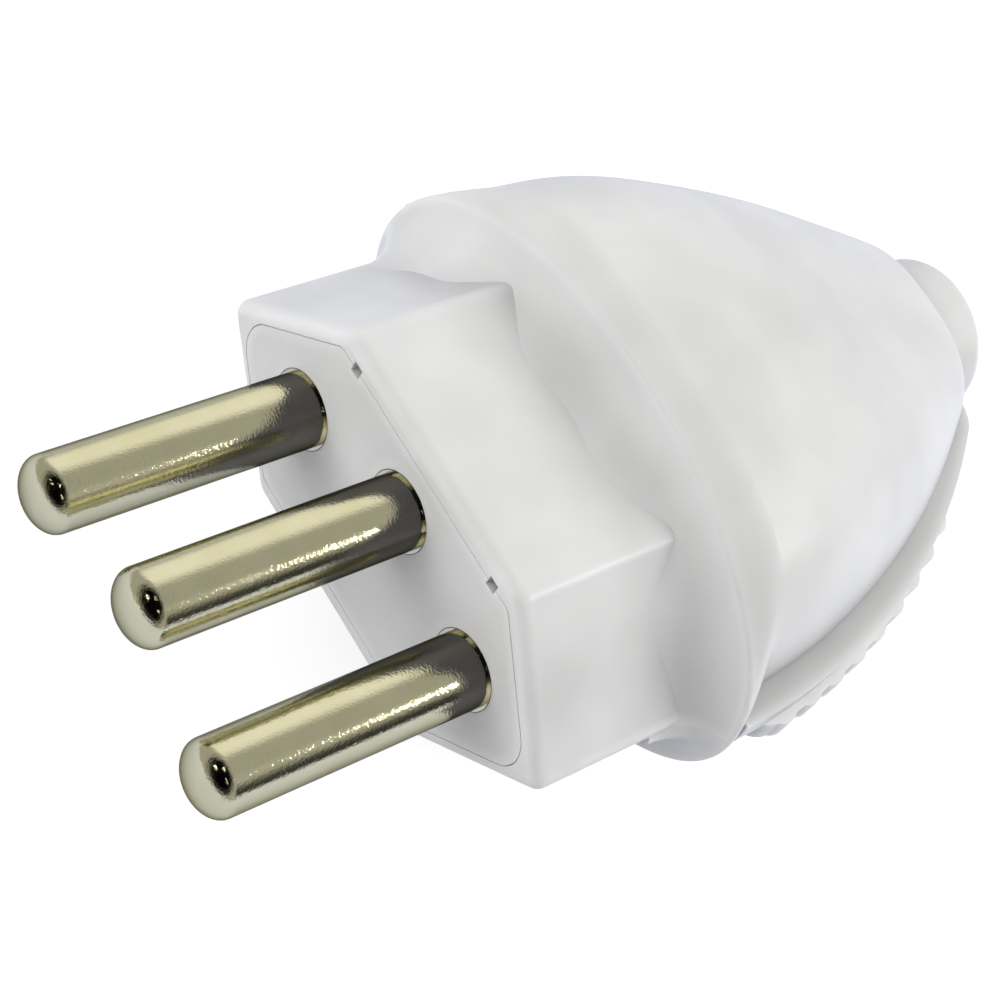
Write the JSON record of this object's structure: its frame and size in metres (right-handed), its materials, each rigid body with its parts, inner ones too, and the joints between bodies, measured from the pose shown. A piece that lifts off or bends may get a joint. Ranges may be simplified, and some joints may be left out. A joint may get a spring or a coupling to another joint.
{
  "type": "three-pin plug",
  "caption": "Rewirable mains plug with round pins in an offset row, a six-sided neck, a domed two-part plastic housing with ribbed grips, and a round cord entry.",
  "frame": {"origin": "middle of the engagement face", "axes": "+X along the row of the line and neutral pins, +Y from the pins towards the cord entry, +Z towards the upper shell and the raised earth pin"},
  "size_m": [0.0416, 0.068, 0.0266],
  "materials": {
    "housing": "white moulded plastic, glossy",
    "carrier": "white moulded plastic, satin",
    "pins": "nickel-plated brass",
    "clamp": "white moulded plastic",
    "screws": "zinc-plated steel"
  },
  "bodies": {
    "root": {"upper_shell": "housing", "lower_cover": "housing", "pin_carrier": "carrier", "line_pin": "pins", "earth_pin": "pins", "neutral_pin": "pins", "cord_clamp": "clamp", "terminal_screws": "screws", "clamp_screws": "screws", "cover_screws": "screws"}
  },
  "joints": []
}
